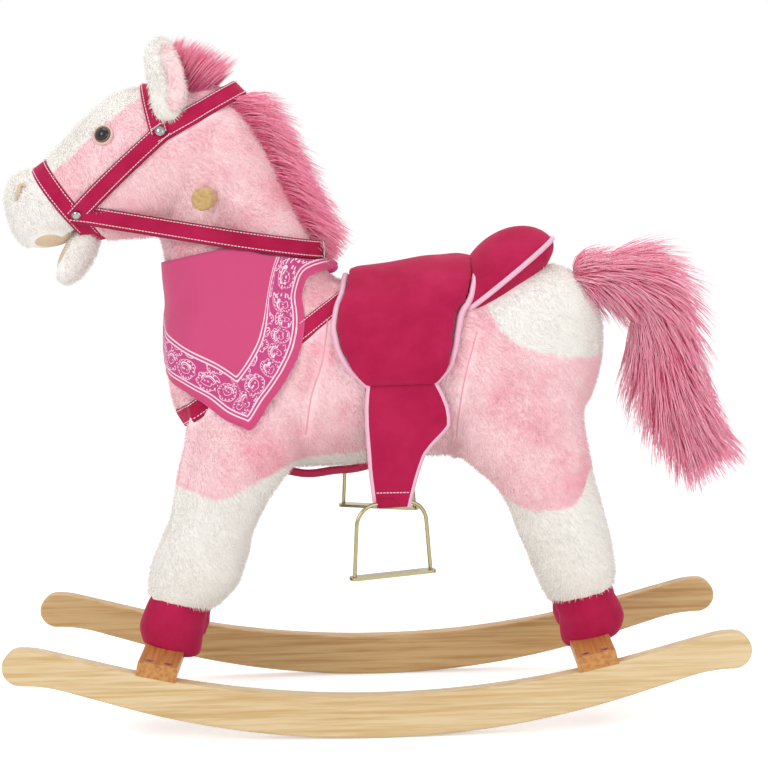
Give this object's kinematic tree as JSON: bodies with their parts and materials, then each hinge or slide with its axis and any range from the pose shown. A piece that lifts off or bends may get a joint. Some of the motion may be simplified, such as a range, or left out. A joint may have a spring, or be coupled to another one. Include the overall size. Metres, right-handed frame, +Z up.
{
  "type": "rocking horse",
  "caption": "Plush rocking horse on curved wooden rockers, with saddle, hanging stirrups, bridle, neckerchief and a handle dowel through the neck.",
  "frame": {"origin": "on the floor, midway between the rockers and under their lowest point", "axes": "+Z up, -X towards the horse's nose, +X towards its tail, -Y to the horse's left side"},
  "size_m": [0.7406, 0.285, 0.695],
  "materials": {
    "pine": "satin clear lacquer",
    "stained_bar": "satin stained",
    "frame_timber": "sawn, unfinished",
    "steel_screw": "zinc plated",
    "brassy_wire": "yellow zinc plated wire",
    "chrome_snap": "polished",
    "pink_plush": "short pile plush",
    "white_plush": "short pile plush",
    "rose_fur": "long pile faux fur",
    "raspberry_suede": "brushed microsuede",
    "pink_cotton": "printed cotton",
    "black_eye": "polished",
    "white_housing": "moulded"
  },
  "bodies": {
    "horse": {"runner_left": "pine", "runner_right": "pine", "handle_dowel": "pine", "front_crossbar": "stained_bar", "rear_crossbar": "stained_bar", "leg_post_front_left": "frame_timber", "leg_post_front_right": "frame_timber", "leg_post_rear_left": "frame_timber", "leg_post_rear_right": "frame_timber", "frame_rail_left": "frame_timber", "frame_rail_right": "frame_timber", "seat_board": "frame_timber", "neck_post": "frame_timber", "head_block": "frame_timber", "crossbar_screws": "steel_screw", "leg_bolts": "steel_screw", "bridle_snaps": "chrome_snap", "torso": "pink_plush", "neck": "pink_plush", "head": "pink_plush", "leg_front_left": "white_plush", "leg_front_right": "white_plush", "leg_rear_left": "white_plush", "leg_rear_right": "white_plush", "ear_left": "white_plush", "ear_right": "white_plush", "mane": "rose_fur", "hoof_front_left": "raspberry_suede", "hoof_front_right": "raspberry_suede", "hoof_rear_left": "raspberry_suede", "hoof_rear_right": "raspberry_suede", "noseband": "raspberry_suede", "headstall": "raspberry_suede", "browband": "raspberry_suede", "reins": "raspberry_suede", "breast_strap": "raspberry_suede", "girth_strap": "raspberry_suede", "saddle_seat": "raspberry_suede", "cantle": "raspberry_suede", "bandana": "pink_cotton", "bandana_knot": "pink_cotton", "eye_left": "black_eye", "eye_right": "black_eye", "sound_box": "white_housing", "jaw_motor": "white_housing", "tail_motor": "white_housing"},
    "jaw": {"jaw": "white_plush", "jaw_frame": "steel_screw"},
    "tail": {"tail": "rose_fur", "tail_shaft": "steel_screw"},
    "fender_left": {"fender_left": "raspberry_suede"},
    "fender_right": {"fender_right": "raspberry_suede"},
    "stirrup_left": {"stirrup_left": "brassy_wire"},
    "stirrup_right": {"stirrup_right": "brassy_wire"},
    "battery_door": {"battery_door": "white_housing"},
    "power_switch": {"power_switch": "white_housing"},
    "ear_button": {"ear_button": "white_housing"}
  },
  "joints": [
    {"name": "jaw_hinge", "type": "hinge", "parent": "horse", "child": "jaw", "pos_m": [-0.272, 0, 0.512], "axis": [0, 1, 0], "range_deg": [0, 15]},
    {"name": "tail_wag", "type": "hinge", "parent": "horse", "child": "tail", "pos_m": [0.178, 0, 0.437], "axis": [0, 0, 1], "range_deg": [-15, 15]},
    {"name": "fender_swing_left", "type": "hinge", "parent": "horse", "child": "fender_left", "pos_m": [0.032, -0.087, 0.343], "axis": [-1, 0, 0], "range_deg": [0, 45]},
    {"name": "fender_swing_right", "type": "hinge", "parent": "horse", "child": "fender_right", "pos_m": [0.032, 0.087, 0.343], "axis": [1, 0, 0], "range_deg": [0, 45]},
    {"name": "stirrup_swing_left", "type": "hinge", "parent": "fender_left", "child": "stirrup_left", "pos_m": [0.018, -0.087, 0.226], "axis": [0.9205, 0.3907, 0], "range_deg": [-60, 60]},
    {"name": "stirrup_swing_right", "type": "hinge", "parent": "fender_right", "child": "stirrup_right", "pos_m": [0.005, 0.087, 0.266], "axis": [0.9205, -0.3907, 0], "range_deg": [-60, 60]},
    {"name": "battery_door_hinge", "type": "hinge", "parent": "horse", "child": "battery_door", "pos_m": [0.018, 0, 0.2662], "axis": [0, 1, 0], "range_deg": [0, 80]},
    {"name": "power_switch_slide", "type": "slide", "parent": "horse", "child": "power_switch", "axis": [0, 1, 0], "range_m": [0, 0.005]},
    {"name": "ear_button_press", "type": "slide", "parent": "horse", "child": "ear_button", "axis": [0, 1, 0], "range_m": [0, 0.0018], "stiffness_N_per_m": 300}
  ]
}
